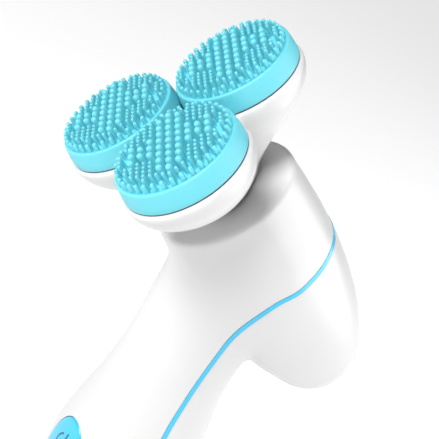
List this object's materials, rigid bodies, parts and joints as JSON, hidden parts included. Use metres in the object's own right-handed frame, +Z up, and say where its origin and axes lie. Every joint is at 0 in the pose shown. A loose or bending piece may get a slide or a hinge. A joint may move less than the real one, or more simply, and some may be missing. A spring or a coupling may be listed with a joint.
{
  "type": "facial cleansing brush",
  "caption": "Battery face brush: round bristled silicone pads on a turning head above a tilted glossy barrel, with an upright handle, turquoise trim and an oval power button.",
  "frame": {"origin": "centre of the flat end face of the handle, which the brush stands on", "axes": "+Z up the handle, the brush faces -Y and upwards at 37 degrees, +X sideways"},
  "size_m": [0.0643, 0.1062, 0.1791],
  "materials": {
    "white_plastic": "glossy moulded ABS, white",
    "turquoise_plastic": "satin moulded turquoise trim",
    "silicone": "soft matte pale turquoise silicone",
    "grey_plastic": "moulded light grey plastic",
    "dark_plastic": "moulded dark grey plastic",
    "gear_plastic": "natural acetal",
    "black_rubber": "black nitrile rubber",
    "steel": "bright plated steel",
    "brass": "machined brass",
    "battery_wrap": "printed foil sleeve, no text",
    "board_green": "green solder mask",
    "lead_red": "red insulation",
    "lead_black": "black insulation"
  },
  "bodies": {
    "body": {"front_shell": "white_plastic", "rear_shell": "white_plastic", "trim_strip": "turquoise_plastic", "gearbox_upper_plate": "grey_plastic", "gearbox_lower_plate": "grey_plastic", "motor_clamp": "dark_plastic", "battery_tray": "dark_plastic", "tactile_switch": "dark_plastic", "sun_gear": "gear_plastic", "neck_seal": "black_rubber", "sleeve_screw_1": "steel", "sleeve_screw_2": "steel", "gearbox_screw_1": "steel", "gearbox_screw_2": "steel", "gearbox_screw_3": "steel", "idler_axle": "steel", "motor": "steel", "contact_spring_1": "steel", "contact_spring_2": "steel", "contact_plate_upper": "steel", "contact_plate_lower": "steel", "board_screw_1": "steel", "board_screw_2": "steel", "shaft_bush": "brass", "battery_cell_1": "battery_wrap", "battery_cell_2": "battery_wrap", "circuit_board": "board_green", "motor_lead_red": "lead_red", "motor_lead_black": "lead_black"},
    "head": {"head_carrier": "white_plastic", "carrier_cover": "grey_plastic", "cover_screw_1": "steel", "cover_screw_2": "steel", "cover_screw_3": "steel", "output_shaft": "steel", "centre_screw": "steel", "output_gear": "gear_plastic"},
    "pad_1": {"brush_pad_1": "silicone", "pad_plate_1": "grey_plastic", "planet_gear_1": "gear_plastic"},
    "pad_2": {"brush_pad_2": "silicone", "pad_plate_2": "grey_plastic", "planet_gear_2": "gear_plastic"},
    "pad_3": {"brush_pad_3": "silicone", "pad_plate_3": "grey_plastic", "planet_gear_3": "gear_plastic"},
    "idler": {"idler_gear": "gear_plastic"},
    "motor_rotor": {"motor_pinion": "brass"},
    "button": {"power_button": "turquoise_plastic"},
    "cap": {"base_cap": "white_plastic", "cap_seal": "black_rubber"}
  },
  "joints": [
    {"name": "head_spin", "type": "hinge", "parent": "body", "child": "head", "pos_m": [0, -0.0308, 0.1478], "axis": [0, -0.7986, 0.6018], "continuous": true},
    {"name": "pad_1_spin", "type": "hinge", "parent": "head", "child": "pad_1", "pos_m": [0.01888, -0.03238, 0.1457], "axis": [0, -0.7986, 0.6018], "continuous": true},
    {"name": "pad_2_spin", "type": "hinge", "parent": "head", "child": "pad_2", "pos_m": [-0.00717, -0.02017, 0.16191], "axis": [0, -0.7986, 0.6018], "continuous": true},
    {"name": "pad_3_spin", "type": "hinge", "parent": "head", "child": "pad_3", "pos_m": [-0.01171, -0.03985, 0.13579], "axis": [0, -0.7986, 0.6018], "continuous": true},
    {"name": "idler_spin", "type": "hinge", "parent": "body", "child": "idler", "pos_m": [0.009, 0.00035, 0.12433], "axis": [0, -0.7986, 0.6018], "continuous": true},
    {"name": "motor_spin", "type": "hinge", "parent": "body", "child": "motor_rotor", "pos_m": [0, 0.00514, 0.12072], "axis": [0, -0.7986, 0.6018], "continuous": true},
    {"name": "power_button_press", "type": "slide", "parent": "body", "child": "button", "axis": [-0.2974, 0.9548, 0], "range_m": [0, 0.0008], "stiffness_N_per_m": 800, "springref_m": -0.0008},
    {"name": "base_cap_twist", "type": "hinge", "parent": "body", "child": "cap", "pos_m": [0, 0, 0.006], "axis": [0, 0, 1], "range_deg": [0, 30]}
  ],
  "couplings": [
    {"joint": "pad_1_spin", "follows": "head_spin", "ratio": 0.53333},
    {"joint": "pad_2_spin", "follows": "head_spin", "ratio": 0.53333},
    {"joint": "pad_3_spin", "follows": "head_spin", "ratio": 0.53333},
    {"joint": "idler_spin", "follows": "head_spin", "ratio": -2.6},
    {"joint": "motor_spin", "follows": "head_spin", "ratio": 6.76}
  ]
}
